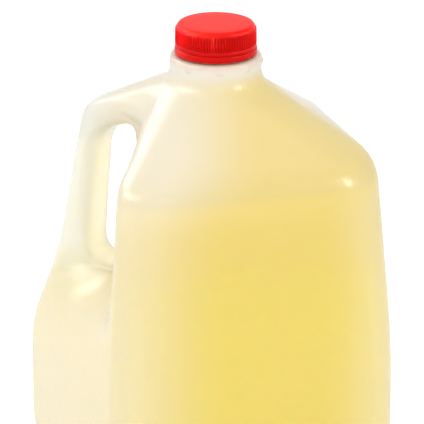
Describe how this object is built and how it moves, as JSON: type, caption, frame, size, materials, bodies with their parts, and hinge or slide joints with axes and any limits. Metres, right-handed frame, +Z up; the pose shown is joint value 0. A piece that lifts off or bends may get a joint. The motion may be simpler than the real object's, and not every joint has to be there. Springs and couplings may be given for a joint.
{
  "type": "lemonade jug",
  "caption": "Square translucent plastic jug with a hollow corner handle, filled with cloudy lemonade to the shoulder and shut by a red ribbed screw cap with a tamper band.",
  "frame": {"origin": "centre of the bounding box on the floor the jug stands on; the neck axis is 5 mm from it, towards +X", "axes": "+Z up along the neck; the handle corner points along -X; the mould's parting plane is Y = 0, about which the jug is symmetric"},
  "size_m": [0.211, 0.201, 0.256],
  "materials": {
    "translucent_plastic": "translucent, satin, finely grained",
    "lemonade": "cloudy liquid",
    "red_plastic": "semi-gloss"
  },
  "bodies": {
    "root": {"jug": "translucent_plastic", "lemonade": "lemonade", "cap": "red_plastic"}
  },
  "joints": []
}
